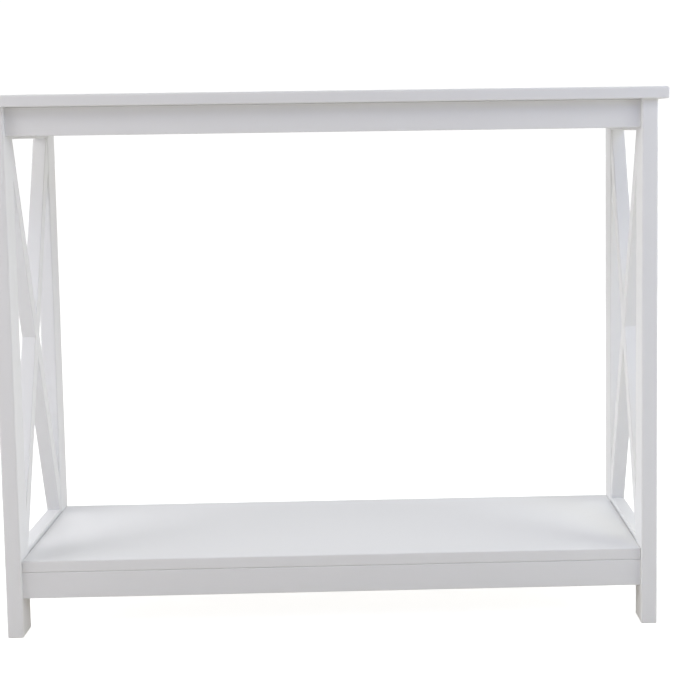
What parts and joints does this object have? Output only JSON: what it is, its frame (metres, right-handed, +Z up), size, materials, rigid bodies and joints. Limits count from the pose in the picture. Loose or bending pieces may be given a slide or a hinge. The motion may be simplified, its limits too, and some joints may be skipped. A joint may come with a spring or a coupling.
{
  "type": "console table",
  "caption": "Slim rectangular console table in satin white paint, with X-braced end frames and a full-length low shelf.",
  "frame": {"origin": "on the floor, under the middle of the tabletop", "axes": "+X along the length to the right as seen from the front, +Y to the rear, +Z up"},
  "size_m": [1, 0.305, 0.805],
  "materials": {
    "painted_wood": "satin white paint on wood and fibreboard",
    "dowel_wood": "bare turned beech",
    "plated_steel": "bright zinc plating",
    "cast_zinc": "bare die-cast zinc, dull",
    "cap_plastic": "moulded white plastic"
  },
  "bodies": {
    "root": {"tabletop": "painted_wood", "lower_shelf": "painted_wood", "front_apron": "painted_wood", "rear_apron": "painted_wood", "front_lower_rail": "painted_wood", "rear_lower_rail": "painted_wood", "left_front_leg": "painted_wood", "left_rear_leg": "painted_wood", "right_front_leg": "painted_wood", "right_rear_leg": "painted_wood", "left_upper_side_rail": "painted_wood", "left_lower_side_rail": "painted_wood", "right_upper_side_rail": "painted_wood", "right_lower_side_rail": "painted_wood", "left_slat_falling": "painted_wood", "left_slat_rising": "painted_wood", "right_slat_falling": "painted_wood", "right_slat_rising": "painted_wood", "left_frame_dowels": "dowel_wood", "right_frame_dowels": "dowel_wood", "left_slat_dowels": "dowel_wood", "right_slat_dowels": "dowel_wood", "long_rail_dowels": "dowel_wood", "connecting_bolts": "plated_steel", "angle_brackets": "plated_steel", "bracket_screws": "plated_steel", "shelf_screws": "plated_steel", "cam_locks": "cast_zinc", "cam_lock_caps": "cap_plastic"}
  },
  "joints": []
}
